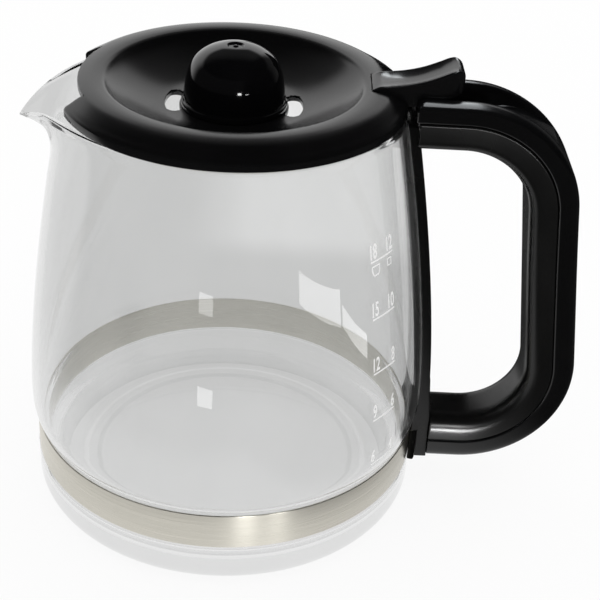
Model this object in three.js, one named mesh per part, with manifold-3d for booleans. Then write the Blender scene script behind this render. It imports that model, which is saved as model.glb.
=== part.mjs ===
// Glass coffee carafe with a flip lid on the handle. Millimetres, +Z up.
// The origin is the centre of the base, on the surface the carafe stands on.
// The handle is on +X and the pouring spout on -X.
import * as THREE from 'three';
import { mergeVertices } from 'three/addons/utils/BufferGeometryUtils.js';
import Module from 'manifold-3d';

const wasm = await Module();
wasm.setup();

// Clearances
const GAP = 0.3; // between pieces that touch
const GLASS_GAP = 0.4; // between the handle and the glass
const PIN_GAP = 0.3; // around pins and screws in their holes
const SWING_GAP = 0.7; // either side of the lever between the handle rails

// Glass body
const RIM_Z = 156.2; // height of the mouth
const RIM_R = 59; // outer radius of the mouth
const BELLY_Z = 44; // height of the widest place
const BELLY_R = 73.6; // outer radius there
const GROOVE_DEPTH = 2.5; // how far the waist for the band lies inside the belly
const HEEL_STEP = 1.1; // how far the heel below the band stands outside the waist
const HEEL_ROUND = 8; // radius of the round from the heel to the base
const WALL = 2.6; // thickness of the wall
const FLOOR = 6; // thickness of the bottom
const FLOOR_ROUND = 12; // radius of the inner corner
const SPOUT_REACH = 15.5; // how far the spout tip stands out from the mouth
const SPOUT_DROP = 10; // how far the tip lies below the mouth
const SPOUT_RISE = 26; // height of wall that bends into the spout
const SPOUT_PINCH = 0.27; // angle, in radians, in which the spout fades to a third
const SPOUT_FALL = 2; // how much faster the drop of the tip fades
const SPOUT_TIP = 0.07; // angle, in radians, of the round at its tip

// Steel band round the foot of the glass
const BAND_Z = 17.5; // lower edge
const BAND_H = 14; // width of the strip
const BAND_T = 0.6; // thickness of the strip
const EAR_LENGTH = 5.7; // how far the turned ends stand out
const EAR_GAP = 2.4; // between the turned ends

// Clamp screw through the ends of the band
const SCREW_R = 1.5;
const SCREW_HEAD_R = 2.4;
const SCREW_HEAD_H = 2.4;
const SCREW_OUT = 3.4; // axis of the screw outside the band
const SCREW_IN = 7; // depth of the thread past the middle

// Handle grip, an outer shell and an inner cover that meet on a seam line
const GRIP_W = 22; // front to back
const ARM_W = 26; // front to back at the upper arm
const FLARE_Z = 95; // height at which the grip starts to widen
const SHELL_T = 8.9; // from the seam to the outer face
const COVER_T = 9.9; // from the seam to the inner face
const GRIP_EDGE = 5; // round of the outer edges
const GRIP_LIP = 3.5; // round of the inner edges
const ARM_UP = 1.3; // seam of the upper arm below the mouth
const ARM_DOWN = 5.2; // seam of the lower arm above the lower edge of the band
const GRIP_TOP = 51.3; // seam of the grip outside the mouth, at the upper arm
const GRIP_FOOT = 53.8; // seam of the grip outside the band, at the lower arm
const TOP_BEND = 35; // bend of the seam at the top
const FOOT_BEND = 32; // bend of the seam at the foot
const RAIL_CORNER = 3; // round of the upper end of each rail
const ROOT_WRAP = 1.6; // how far the sides of the inner half reach past the face of the spine

// Spine along the glass, with the foot, the saddle on the band and the hook on the mouth
const SPINE_W = 20;
const SPINE_T = 2.9;
const SPINE_IN = 7.6; // how far it rises above the underside of the upper arm
const FOOT_T = 6.2; // thickness of the foot outside the band
const SADDLE_T = 2.6; // thickness of the saddle
const SADDLE_ANGLE = 0.235; // half angle of the saddle, in radians
const TENON_W = 12; // tenon from the foot into the lower arm
const TENON_H = 9;
const TENON_L = 7;
const HOOK_W = 13;
const HOOK_T = 1.2;
const HOOK_IN = 6; // how far the hook reaches down inside the mouth
const HOOK_GAP = 0.9; // between the hook and the inside of the glass

// Hinge of the lid
const HINGE_OUT = 9.1; // axis outside the mouth
const HINGE_UP = 1.3; // axis above the mouth
const PIN_R = 1.5;
const PIN_COVER = 1; // wall left in front of the pin on the -Y side
const LUG_R = 3.5; // round lug of the lever on the pin

// Thumb lever
const LEVER_W = 14.6;
const LEVER_IN = 12.6; // inner end inside the edge of the mouth
const LEVER_RISE = 15.8; // height of the raised end above the mouth
const LEVER_OUT = 18.5; // raised end outside the edge of the mouth
const LEVER_TOE = 7.2; // lower corner of the raised end above the mouth
const LEVER_SCOOP = 1.5; // depth of the thumb hollow
const LEVER_EDGE = 1.5; // width of the edge left round it
const LEVER_UNDER = 2.3; // underside above the mouth

// Channel in the top of the handle that the lever drops into
const CHANNEL_FLOOR = 3.2; // material left under the channel
const CHANNEL_FLAT = 23.7; // end of the level floor outside the mouth
const CHANNEL_RUN = 36; // where the floor runs out of the handle, outside the mouth

// Lid
const LID_OVER = 0.4; // edge of the lid outside the mouth
const LID_EDGE = 2; // straight height of the edge
const LID_CREST = 7.4; // crest of the rim above the mouth
const LID_T = 2.2; // thickness of the lid
const BOWL_R = 44.4; // inner edge of the rim
const BOWL_DEPTH = 10; // floor of the bowl below the crest
const LIP_GAP = 1.2; // lip that centres the lid, inside the wall of the mouth
const LIP_T = 2;
const LIP_DEPTH = 2.2; // lip below the edge of the lid
const NOTCH_IN = 6.3; // inner edge of the pouring notch inside the mouth
const NOTCH_ANGLE = 0.42; // half angle of the notch, in radians
const DRAIN_IN = 18.7; // inner radius of the drain slots
const DRAIN_OUT = 23.6; // outer radius of the drain slots
const DRAIN_ANGLE = 0.42; // half angle of each slot, in radians

// Dome in the middle of the lid
const DOME_R = 17.4; // side of the dome at its foot
const DOME_H = 21.3; // top above the floor of the bowl
const DOME_T = 2;
const FLANGE_R = 18.2;
const FLANGE_H = 1.8;
const PLUG_R = 14.6; // ring below the flange that enters the lid
const PLUG_DEPTH = 3.4;

// Fineness of the facets
const TURN = 60;
const LID_TURN = 60;
const DOME_TURN = 32;
const HOLE_TURN = 16;
const GRIP_STEPS = 40;

// Places that follow from the sizes above
const GROOVE_R = BELLY_R - GROOVE_DEPTH;
const HEEL_R = GROOVE_R + HEEL_STEP;
const BAND_IN = GROOVE_R + GAP;
const BAND_OUT = BAND_IN + BAND_T;
const BAND_TOP = BAND_Z + BAND_H;
const GROOVE_TOP = BAND_TOP + GAP;
const SADDLE_R = BAND_OUT + GAP;
const FOOT_X = SADDLE_R + FOOT_T;
const HINGE_X = RIM_R + HINGE_OUT;
const HINGE_Z = RIM_Z + HINGE_UP;
const ARM_Z = RIM_Z - ARM_UP;
const LOW_Z = BAND_Z + ARM_DOWN;
const GRIP_T = SHELL_T + COVER_T;
const ARM_UNDER = ARM_Z - COVER_T;
const RAIL_TOP = ARM_Z + SHELL_T;
const RAIL_X = HINGE_X + HINGE_Z - RAIL_TOP;
const CHANNEL_Z = ARM_UNDER + CHANNEL_FLOOR;
const CHANNEL_W = LEVER_W + 2 * SWING_GAP;
const FOOT_Z = LOW_Z - SHELL_T;
const FOOT_H = GROOVE_TOP - FOOT_Z;
const SCREW_X = BAND_OUT + SCREW_OUT;
const SCREW_Z = BAND_Z + BAND_H / 2;
const LID_Z = RIM_Z + GAP;
const CREST_Z = RIM_Z + LID_CREST;
const BOWL_Z = CREST_Z - BOWL_DEPTH;
const MOUTH_IN = RIM_R - WALL;
const LID_R = RIM_R + LID_OVER;
const LIP_R = MOUTH_IN - LIP_GAP;
const NOTCH_R = RIM_R - NOTCH_IN;

// Solids and booleans
function solid(geometry) {
  geometry.deleteAttribute('normal');
  geometry.deleteAttribute('uv');
  const welded = mergeVertices(geometry, 1e-4);
  const points = new Float32Array(welded.attributes.position.array);
  const index = welded.index.array;
  const triangles = [];
  let volume = 0;
  for (let i = 0; i < index.length; i += 3) {
    const [a, b, c] = [index[i], index[i + 1], index[i + 2]];
    if (a === b || b === c || c === a) continue;
    triangles.push(a, b, c);
    const [p, q, r] = [a, b, c].map((k) => new THREE.Vector3().fromArray(points, 3 * k));
    volume += p.dot(q.cross(r));
  }
  if (volume < 0) triangles.reverse();
  const triVerts = new Uint32Array(triangles);
  return new wasm.Manifold(new wasm.Mesh({ numProp: 3, vertProperties: points, triVerts }));
}

function piece(name, body, material) {
  const data = body.getMesh();
  const geometry = new THREE.BufferGeometry();
  geometry.setAttribute('position', new THREE.BufferAttribute(data.vertProperties, 3));
  geometry.setIndex(new THREE.BufferAttribute(data.triVerts, 1));
  geometry.computeVertexNormals();
  const mesh = new THREE.Mesh(geometry, material);
  mesh.name = name;
  return mesh;
}

// Basic forms: outlines in the XZ plane given front to back width, outlines in plan, turned
// profiles of [radius, height], round bars along Y
function outline(points) {
  return new THREE.Shape(points.map(([x, y]) => new THREE.Vector2(x, y)));
}

function slabShape(shape, y0, y1) {
  const options = { depth: y1 - y0, bevelEnabled: false, curveSegments: 12 };
  const geometry = new THREE.ExtrudeGeometry(shape, options);
  geometry.rotateX(Math.PI / 2);
  geometry.translate(0, y1, 0);
  return solid(geometry);
}

function slab(points, width) {
  return slabShape(outline(points), -width / 2, width / 2);
}

function block(x0, x1, width, z0, z1) {
  return slab([[x0, z0], [x1, z0], [x1, z1], [x0, z1]], width);
}

function plan(shape, z0, z1, curveSegments) {
  const options = { depth: z1 - z0, bevelEnabled: false, curveSegments };
  const geometry = new THREE.ExtrudeGeometry(shape, options);
  geometry.translate(0, 0, z0);
  return solid(geometry);
}

function turned(points, segments) {
  const geometry = new THREE.LatheGeometry(points.map(([r, z]) => new THREE.Vector2(r, z)), segments);
  geometry.rotateX(Math.PI / 2);
  return geometry;
}

function bar(radius, x, z, y0, y1) {
  const geometry = new THREE.CylinderGeometry(radius, radius, y1 - y0, HOLE_TURN);
  geometry.translate(x, (y0 + y1) / 2, z);
  return solid(geometry);
}

function arcPoints(x, z, radius, from, to, steps) {
  const points = [];
  for (let i = 0; i <= steps; i += 1) {
    const angle = from + ((to - from) * i) / steps;
    points.push([x + radius * Math.cos(angle), z + radius * Math.sin(angle)]);
  }
  return points;
}

// Glass: outer radius at a height, rising from the band waist to the belly and in to the mouth
function glassRadius(z) {
  if (z <= GROOVE_TOP) return GROOVE_R;
  if (z < BELLY_Z) {
    const below = (BELLY_Z - z) / (BELLY_Z - GROOVE_TOP);
    return BELLY_R - GROOVE_DEPTH * below ** 4;
  }
  const above = Math.min(1, (z - BELLY_Z) / (RIM_Z - BELLY_Z));
  return BELLY_R - (BELLY_R - RIM_R) * above ** 1.5;
}

function steps(from, to, count) {
  return Array.from({ length: count + 1 }, (_, i) => from + ((to - from) * i) / count);
}

// Heights at which the outer wall is drawn, shared by the glass and by what fits round it
function wallHeights() {
  return [
    ...steps(GROOVE_TOP, BELLY_Z, 4),
    ...steps(BELLY_Z, RIM_Z - SPOUT_RISE, 6).slice(1),
    ...steps(RIM_Z - SPOUT_RISE, RIM_Z - WALL / 2, 5).slice(1),
  ];
}

function glassProfile() {
  const wallFoot = FLOOR + FLOOR_ROUND;
  const inner = (z) => glassRadius(z) - WALL;
  return [
    [0, 0],
    ...arcPoints(HEEL_R - HEEL_ROUND, HEEL_ROUND, HEEL_ROUND, -Math.PI / 2, 0, 5),
    [HEEL_R, BAND_Z - 3 * GAP],
    [GROOVE_R, BAND_Z - GAP],
    ...wallHeights().map((z) => [glassRadius(z), z]),
    ...arcPoints(RIM_R - WALL / 2, RIM_Z - WALL / 2, WALL / 2, 0, Math.PI, 4).slice(1, -1),
    ...steps(RIM_Z - WALL / 2, RIM_Z - SPOUT_RISE, 5).map((z) => [inner(z), z]),
    ...steps(RIM_Z - SPOUT_RISE, BELLY_Z, 5).slice(1).map((z) => [inner(z), z]),
    ...steps(BELLY_Z, wallFoot, 3).slice(1, -1).map((z) => [inner(z), z]),
    ...arcPoints(inner(wallFoot) - FLOOR_ROUND, wallFoot, FLOOR_ROUND, 0, -Math.PI / 2, 5),
    [0, FLOOR],
  ];
}

// Spout: the wall near the mouth is drawn out and down round the -X side, inside and outside alike,
// and the facets crowd together there
function bendSpout(geometry) {
  const position = geometry.attributes.position;
  const start = RIM_Z - SPOUT_RISE;
  for (let i = 0; i < position.count; i += 1) {
    const [x, y, z] = [position.getX(i), position.getY(i), position.getZ(i)];
    const around = Math.atan2(-y, -x);
    const angle = around - 0.55 * Math.sin(around);
    const away = (Math.hypot(angle, SPOUT_TIP) - SPOUT_TIP) / SPOUT_PINCH;
    const up = Math.max(0, (z - start) / SPOUT_RISE);
    const radius = Math.hypot(x, y) + SPOUT_REACH * Math.exp(-away) * up ** 3;
    const height = z - SPOUT_DROP * Math.exp(-SPOUT_FALL * away) * up ** 1.5;
    position.setXYZ(i, -radius * Math.cos(angle), -radius * Math.sin(angle), height);
  }
  return geometry;
}

const glassBody = solid(bendSpout(turned(glassProfile(), TURN)));

// Band: a strip round the waist of the glass whose two ends turn out into the foot of the handle
function bandShape() {
  const tip = BAND_OUT + EAR_LENGTH;
  const inside = EAR_GAP / 2;
  const outside = EAR_GAP / 2 + BAND_T;
  const innerAngle = Math.asin(inside / BAND_IN);
  const outerAngle = Math.asin(outside / BAND_OUT);
  const shape = new THREE.Shape();
  shape.moveTo(tip, inside);
  shape.absarc(0, 0, BAND_IN, innerAngle, 2 * Math.PI - innerAngle, false);
  shape.lineTo(tip, -inside);
  shape.lineTo(tip, -outside);
  shape.absarc(0, 0, BAND_OUT, 2 * Math.PI - outerAngle, outerAngle, true);
  shape.lineTo(tip, outside);
  return shape;
}

const earHole = bar(SCREW_R + PIN_GAP, SCREW_X, SCREW_Z, -EAR_GAP, EAR_GAP);
const baseBand = plan(bandShape(), BAND_Z, BAND_TOP, TURN).subtract(earHole);

// Clamp screw: it enters from the +Y side and draws the two ends of the band together
const headY = SPINE_W / 2 - SCREW_HEAD_H - GAP;
const screwHead = bar(SCREW_HEAD_R, SCREW_X, SCREW_Z, headY, headY + SCREW_HEAD_H);
const clampScrew = bar(SCREW_R, SCREW_X, SCREW_Z, -SCREW_IN, headY + SCREW_HEAD_H / 2).add(screwHead);

// Spine of the handle: a strip that follows the glass, a foot over the band and a hook over the mouth
function stripPoints(from, to, thickness) {
  const heights = steps(from, to, Math.max(2, Math.round((to - from) / 10)));
  const inside = heights.map((z) => [glassRadius(z) - WALL, z]);
  const outside = heights.map((z) => [glassRadius(z) + GLASS_GAP + thickness, z]).reverse();
  return [...inside, ...outside];
}

// The space of the glass with its gap, which the back of the spine is cut to
function glassSpace() {
  const top = RIM_Z + GAP;
  const heel = HEEL_R + GLASS_GAP;
  const side = wallHeights().map((z) => [glassRadius(z) + GLASS_GAP, z]);
  const foot = [[0, 0], [heel, 0], [heel, BAND_Z - GAP], [GROOVE_R + GLASS_GAP, BAND_Z - GAP]];
  return [...foot, ...side, [RIM_R + GLASS_GAP, top], [0, top]];
}

function saddleShape() {
  const shape = new THREE.Shape();
  shape.absarc(0, 0, SADDLE_R, -SADDLE_ANGLE, SADDLE_ANGLE, false);
  shape.absarc(0, 0, SADDLE_R + SADDLE_T, SADDLE_ANGLE, -SADDLE_ANGLE, true);
  return shape;
}

const spineTop = ARM_UNDER + SPINE_IN;
const hookIn = MOUTH_IN - HOOK_GAP;
const hookOut = RIM_R + GLASS_GAP + HOOK_T;
const hookTop = RIM_Z + GAP + HOOK_T;
const strip = slab(stripPoints(GROOVE_TOP - FOOT_H / 3, spineTop, SPINE_T), SPINE_W);
const hookPlate = slab(stripPoints(spineTop - SPINE_T, RIM_Z + GAP, HOOK_T), HOOK_W);
const hookBar = block(hookIn - HOOK_T, hookOut, HOOK_W, RIM_Z + GAP, hookTop);
const hookEnd = block(hookIn - HOOK_T, hookIn, HOOK_W, RIM_Z - HOOK_IN, hookTop);
const saddle = plan(saddleShape(), BAND_Z, GROOVE_TOP, 10);
const footBlock = block(SADDLE_R - SADDLE_T, FOOT_X, SPINE_W, FOOT_Z, GROOVE_TOP);
const bandRound = new THREE.Shape().absarc(0, 0, SADDLE_R, 0, 2 * Math.PI, false);
const bandBore = plan(bandRound, 0, GROOVE_TOP, TURN);
const tenonZ = LOW_Z + (COVER_T - SHELL_T) / 2;
const tenonLow = tenonZ - TENON_H / 2;
const tenonHigh = tenonZ + TENON_H / 2;
const tenon = block(FOOT_X - SADDLE_T, FOOT_X + TENON_L, TENON_W, tenonLow, tenonHigh);
const earSlotW = EAR_GAP + 2 * BAND_T + 2 * GAP;
const earSlot = block(0, BAND_OUT + EAR_LENGTH + GAP, earSlotW, BAND_Z - GAP, RIM_Z);
const earSlotFoot = earSlot.intersect(block(0, FOOT_X, SPINE_W, FOOT_Z, GROOVE_TOP + GAP));
const screwHole = bar(SCREW_R + PIN_GAP, SCREW_X, SCREW_Z, -SCREW_IN - GAP, headY);
const screwSink = bar(SCREW_HEAD_R + GAP, SCREW_X, SCREW_Z, headY - GAP, SPINE_W);
const back = strip.add(hookPlate).add(footBlock).subtract(solid(turned(glassSpace(), TURN)));
const foot = back.subtract(bandBore).add(saddle).add(tenon);
const footCut = foot.subtract(earSlotFoot).subtract(screwHole).subtract(screwSink);
const handleSpine = footCut.add(hookBar).add(hookEnd);

// Seam line of the grip: upper arm, grip and lower arm with round bends between them
class GripLine extends THREE.Curve {
  constructor(path) {
    super();
    this.path = path;
  }

  getPoint(t, target = new THREE.Vector3()) {
    const point = this.path.getPointAt(Math.min(1, Math.max(0, t)));
    return target.set(point.x, 0, point.y);
  }
}

function bendCorner(path, before, corner, after, radius) {
  const into = new THREE.Vector2().subVectors(corner, before).normalize();
  const out = new THREE.Vector2().subVectors(after, corner).normalize();
  const turn = Math.acos(into.dot(out));
  const tangent = radius * Math.tan(turn / 2);
  const start = corner.clone().addScaledVector(into, -tangent);
  const side = new THREE.Vector2(into.y, -into.x);
  const centre = start.clone().addScaledVector(side, radius);
  const angle = Math.atan2(start.y - centre.y, start.x - centre.x);
  path.lineTo(start.x, start.y);
  path.absarc(centre.x, centre.y, radius, angle, angle - turn, true);
}

function gripPath() {
  const begin = new THREE.Vector2(RAIL_X, ARM_Z);
  const top = new THREE.Vector2(RIM_R + GRIP_TOP, ARM_Z);
  const low = new THREE.Vector2(BAND_OUT + GRIP_FOOT, LOW_Z);
  const end = new THREE.Vector2(FOOT_X + GAP, LOW_Z);
  const path = new THREE.Path();
  path.moveTo(begin.x, begin.y);
  bendCorner(path, begin, top, low, TOP_BEND);
  bendCorner(path, top, low, end, FOOT_BEND);
  path.lineTo(end.x, end.y);
  return new GripLine(path);
}

// Half sections of the grip: the first number runs to the inner side, the second front to back
function halfSection(depth, round, side) {
  const half = GRIP_W / 2;
  const near = (side * GAP) / 2;
  const far = side * depth;
  const shape = new THREE.Shape();
  shape.moveTo(near, -half);
  shape.lineTo(far - side * round, -half);
  shape.quadraticCurveTo(far, -half, far, -half + round);
  shape.lineTo(far, half - round);
  shape.quadraticCurveTo(far, half, far - side * round, half);
  shape.lineTo(near, half);
  return shape;
}

// The grip widens smoothly towards the upper arm, whose rails stand either side of the lever
function widen(geometry) {
  const position = geometry.attributes.position;
  for (let i = 0; i < position.count; i += 1) {
    const flare = THREE.MathUtils.smoothstep(position.getZ(i), FLARE_Z, ARM_UNDER);
    position.setY(i, position.getY(i) * THREE.MathUtils.lerp(1, ARM_W / GRIP_W, flare));
  }
  return geometry;
}

function sweep(shape) {
  const options = { steps: GRIP_STEPS, extrudePath: gripPath(), curveSegments: 4 };
  return solid(widen(new THREE.ExtrudeGeometry(shape, options)));
}

// Channel for the lever: a level floor that climbs out through the top of the handle
const channelTop = RAIL_TOP + GRIP_T;
const channelRoof = [[RIM_R + CHANNEL_RUN + GRIP_T, channelTop], [RIM_R - GRIP_T, channelTop]];
const channelFloor = [[RIM_R - GRIP_T, CHANNEL_Z], [RIM_R + CHANNEL_FLAT, CHANNEL_Z]];
const channelMid = [RIM_R + 0.45 * CHANNEL_FLAT + 0.55 * CHANNEL_RUN, CHANNEL_Z + GRIP_T / 4];
const channelEnd = [RIM_R + CHANNEL_RUN, CHANNEL_Z + 0.38 * GRIP_T];
const channel = slab([...channelFloor, channelMid, channelEnd, ...channelRoof], CHANNEL_W);

// Rail ends stop as far in front of the hinge as they rise above it, and the pin enters from the +Y side
function railEndShape() {
  const out = RAIL_X - GRIP_T;
  const centreX = RAIL_X + RAIL_CORNER;
  const centreZ = RAIL_TOP - RAIL_CORNER;
  const shape = new THREE.Shape();
  shape.moveTo(out, centreZ);
  shape.lineTo(RAIL_X, centreZ);
  shape.absarc(centreX, centreZ, RAIL_CORNER, Math.PI, Math.PI / 2, true);
  shape.lineTo(centreX, channelTop);
  shape.lineTo(out, channelTop);
  return shape;
}

const railEnd = slabShape(railEndShape(), -ARM_W, ARM_W);
const pinFront = -ARM_W / 2 + PIN_COVER;
const pinHole = bar(PIN_R + PIN_GAP, HINGE_X, HINGE_Z, pinFront, ARM_W);
const tenonEnd = FOOT_X + TENON_L + GAP;
const tenonHole = block(0, tenonEnd, TENON_W + 2 * GAP, tenonLow - GAP, tenonHigh + GAP);
const shellBlank = sweep(halfSection(SHELL_T, GRIP_EDGE, -1));
const shellTop = shellBlank.subtract(channel).subtract(railEnd).subtract(pinHole);
const handleShell = shellTop.subtract(tenonHole);

// Inner cover: its upper root butts against the outer face of the spine, and its sides reach past it
const rootX = glassRadius(ARM_UNDER) + GLASS_GAP + SPINE_T + GAP;
const rootFace = block(0, rootX, SPINE_W + 2 * GAP, ARM_UNDER - GRIP_T, ARM_Z);
const rootSides = block(0, rootX - ROOT_WRAP, 2 * ARM_W, ARM_UNDER - GRIP_T, ARM_Z);
const rootCut = rootFace.add(rootSides);
const coverBlank = sweep(halfSection(COVER_T, GRIP_LIP, 1));
const handleCover = coverBlank.subtract(channel).subtract(rootCut).subtract(tenonHole);

// Hinge pin
const hingePin = bar(PIN_R, HINGE_X, HINGE_Z, pinFront + GAP, ARM_W / 2 - GAP);

// Lid: edge, rim, bowl and centring lip turned as one ring, open in the middle for the dome
function lidProfile() {
  const drop = BOWL_DEPTH / 10;
  const under = CREST_Z - LID_T;
  const hole = PLUG_R + GAP;
  const lipIn = LIP_R - LIP_T;
  const profile = [
    [LID_R, LID_Z],
    [LID_R, LID_Z + LID_EDGE],
    [LID_R - 0.9, LID_Z + LID_EDGE + 1.7],
    [LID_R - 3.5, CREST_Z - 1.3],
    [LID_R - 8, CREST_Z - 0.1],
    [BOWL_R + 2, CREST_Z],
    [BOWL_R, CREST_Z - 0.4],
    [BOWL_R - 1.6, CREST_Z - 1.7 * drop],
    [BOWL_R - 7, CREST_Z - 4.9 * drop],
    [BOWL_R - 14, CREST_Z - 7.9 * drop],
    [BOWL_R - 20, BOWL_Z + 0.5 * drop],
    [FLANGE_R, BOWL_Z],
    [hole, BOWL_Z],
    [hole, BOWL_Z - LID_T],
    [BOWL_R - 20, BOWL_Z + 0.5 * drop - LID_T],
    [BOWL_R - 14, CREST_Z - 7.9 * drop - LID_T],
    [BOWL_R - 7, CREST_Z - 4.9 * drop - LID_T],
    [BOWL_R, under - 1.7 * drop],
    [BOWL_R + 2, under],
    [lipIn - 1, under],
    [lipIn, under - 1],
    [lipIn, LID_Z - LIP_DEPTH],
    [LIP_R, LID_Z - LIP_DEPTH],
    [LIP_R, LID_Z],
  ];
  return [...profile, profile[0]];
}

// The pouring notch takes the rim outside one radius, and the lever slot takes it behind the hinge
function notchShape() {
  const out = LID_R + SPOUT_REACH;
  const shape = new THREE.Shape();
  shape.absarc(0, 0, NOTCH_R, Math.PI - NOTCH_ANGLE, Math.PI + NOTCH_ANGLE, false);
  shape.lineTo(-out * Math.cos(NOTCH_ANGLE), -out * Math.sin(NOTCH_ANGLE));
  shape.lineTo(-out * Math.cos(NOTCH_ANGLE), out * Math.sin(NOTCH_ANGLE));
  return shape;
}

// Two curved slots beside the dome let the coffee through
function drainShape(middle) {
  const shape = new THREE.Shape();
  shape.absarc(0, 0, DRAIN_OUT, middle - DRAIN_ANGLE, middle + DRAIN_ANGLE, false);
  shape.absarc(0, 0, DRAIN_IN, middle + DRAIN_ANGLE, middle - DRAIN_ANGLE, true);
  return shape;
}

const lidBottom = BOWL_Z - 2 * LID_T;
const lidTop = CREST_Z + GRIP_T;
const notch = plan(notchShape(), lidBottom, lidTop, 10);
const leverIn = RIM_R - LEVER_IN;
const leverSlot = block(leverIn, LID_R + GRIP_T, LEVER_W + 2 * GAP, lidBottom, lidTop);
const drainA = plan(drainShape(0), lidBottom, lidTop, 8);
const drainB = plan(drainShape(Math.PI), lidBottom, lidTop, 8);
const lidRing = solid(turned(lidProfile(), LID_TURN));
const lidCover = lidRing.subtract(notch).subtract(leverSlot).subtract(drainA).subtract(drainB);

// Dome: a hollow bullet with a flange on the floor of the bowl and a ring that enters the lid
function domeProfile() {
  const base = BOWL_Z + GAP;
  const top = BOWL_Z + DOME_H;
  const shoulder = base + FLANGE_H;
  const rise = top - shoulder;
  const side = [[1, 0.06], [0.975, 0.25], [0.92, 0.5], [0.8, 0.72]];
  const outer = [...side, [0.6, 0.87], [0.31, 0.97], [0, 1]];
  const wallR = DOME_R - DOME_T;
  const wallRise = rise - DOME_T;
  return [
    ...outer.map(([r, z]) => [DOME_R * r, shoulder + rise * z]).reverse(),
    [FLANGE_R - 0.5, shoulder],
    [FLANGE_R, shoulder - 0.5],
    [FLANGE_R, base],
    [PLUG_R, base],
    [PLUG_R, base - PLUG_DEPTH],
    [PLUG_R - DOME_T, base - PLUG_DEPTH],
    [PLUG_R - DOME_T, shoulder],
    ...outer.slice(1).map(([r, z]) => [wallR * r, shoulder + wallRise * z]),
  ];
}

const lidDome = solid(turned(domeProfile(), DOME_TURN));

// Thumb lever: a tongue seated in the rim of the lid, a raised end and a lug on the hinge pin
function leverTop(inset) {
  const end = RIM_R + LEVER_OUT;
  const begin = leverIn + GAP;
  const top = RIM_Z + LEVER_RISE;
  const low = CREST_Z + 0.4;
  const inner = [[0, 0], [0.06, 0.12], [0.2, 0.2], [0.38, 0.3]];
  const outer = [[0.56, 0.48], [0.74, 0.74], [0.88, 0.95], [0.94, 1]];
  const rise = top - low;
  return [...inner, ...outer].map(([x, z]) => [begin + (end - begin) * x, low + rise * z - inset]);
}

function leverOutline() {
  const end = RIM_R + LEVER_OUT;
  const top = RIM_Z + LEVER_RISE;
  const under = RIM_Z + LEVER_UNDER;
  const toe = RIM_Z + LEVER_TOE;
  const lug = arcPoints(HINGE_X, HINGE_Z, LUG_R, 0, -Math.PI, 8);
  return [
    ...leverTop(0),
    [end - 0.5, top - 1],
    [end, top - 3],
    [end, toe + 1.2],
    [end - 1.2, toe],
    [HINGE_X + LUG_R + 0.8, HINGE_Z + 4.4],
    ...lug,
    [HINGE_X - LUG_R - 0.7, under],
    [LIP_R - LIP_T, under],
    [LIP_R - LIP_T - 1, CREST_Z - LID_T],
    [leverIn + GAP, CREST_Z - LID_T],
  ];
}

function scoopOutline() {
  const floor = leverTop(LEVER_SCOOP).slice(1);
  const roof = RIM_Z + 2 * LEVER_RISE;
  return [...floor, [floor.at(-1)[0], roof], [floor[0][0], roof]];
}

const leverBlank = slab(leverOutline(), LEVER_W);
const scoop = slab(scoopOutline(), LEVER_W - 2 * LEVER_EDGE);
const lugHole = bar(PIN_R + PIN_GAP, HINGE_X, HINGE_Z, -LEVER_W, LEVER_W);
const lidLever = leverBlank.subtract(scoop).subtract(lugHole);

// Materials
const clearGlass = new THREE.MeshStandardMaterial({ color: 0xe8eceb, roughness: 0.05, metalness: 0 });
clearGlass.transparent = true;
clearGlass.opacity = 0.35;
const bandSteel = new THREE.MeshStandardMaterial({ color: 0xc9c2b0, roughness: 0.32, metalness: 1 });
const pinSteel = new THREE.MeshStandardMaterial({ color: 0xb9bbbd, roughness: 0.3, metalness: 1 });
const glossBlack = new THREE.MeshStandardMaterial({ color: 0x0c0c0d, roughness: 0.14, metalness: 0 });
const satinBlack = new THREE.MeshStandardMaterial({ color: 0x161617, roughness: 0.42, metalness: 0 });
const lidBlack = new THREE.MeshStandardMaterial({ color: 0x121213, roughness: 0.3, metalness: 0 });

// Assembly
const lid = new THREE.Group();
lid.add(piece('lid_cover', lidCover, lidBlack));
lid.add(piece('lid_dome', lidDome, glossBlack));
lid.add(piece('lid_lever', lidLever, lidBlack));

const carafe = new THREE.Group();
carafe.add(piece('glass_body', glassBody, clearGlass));
carafe.add(piece('base_band', baseBand, bandSteel));
carafe.add(piece('clamp_screw', clampScrew, pinSteel));
carafe.add(piece('handle_spine', handleSpine, satinBlack));
carafe.add(piece('handle_shell', handleShell, glossBlack));
carafe.add(piece('handle_cover', handleCover, satinBlack));
carafe.add(piece('hinge_pin', hingePin, pinSteel));
carafe.add(lid);

export default carafe;
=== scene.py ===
import bmesh
import bpy
import numpy as np
from mathutils import Matrix


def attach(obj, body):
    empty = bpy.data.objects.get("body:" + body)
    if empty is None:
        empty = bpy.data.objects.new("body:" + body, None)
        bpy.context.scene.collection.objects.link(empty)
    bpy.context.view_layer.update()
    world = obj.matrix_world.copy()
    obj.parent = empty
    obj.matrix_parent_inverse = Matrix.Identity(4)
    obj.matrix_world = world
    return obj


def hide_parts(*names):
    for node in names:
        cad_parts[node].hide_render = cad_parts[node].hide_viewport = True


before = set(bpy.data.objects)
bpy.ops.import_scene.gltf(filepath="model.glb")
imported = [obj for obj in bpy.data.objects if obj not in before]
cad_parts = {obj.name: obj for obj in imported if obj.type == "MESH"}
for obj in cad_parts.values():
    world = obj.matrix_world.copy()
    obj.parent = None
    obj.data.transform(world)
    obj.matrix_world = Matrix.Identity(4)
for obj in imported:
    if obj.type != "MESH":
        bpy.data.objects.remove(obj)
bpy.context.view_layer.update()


# Glass body
# The jug is blown from clear glass in a mould, with a thick heel, a waist for the band and a belly.
# The spout is pulled out of the hot rim, and the rim is fire polished to a round edge.
MM = 0.001
WELD = 1e-4 * MM
GAP = 0.3
RIM_Z = 156.2
RIM_R = 59.0
BELLY_Z = 44.0
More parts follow.
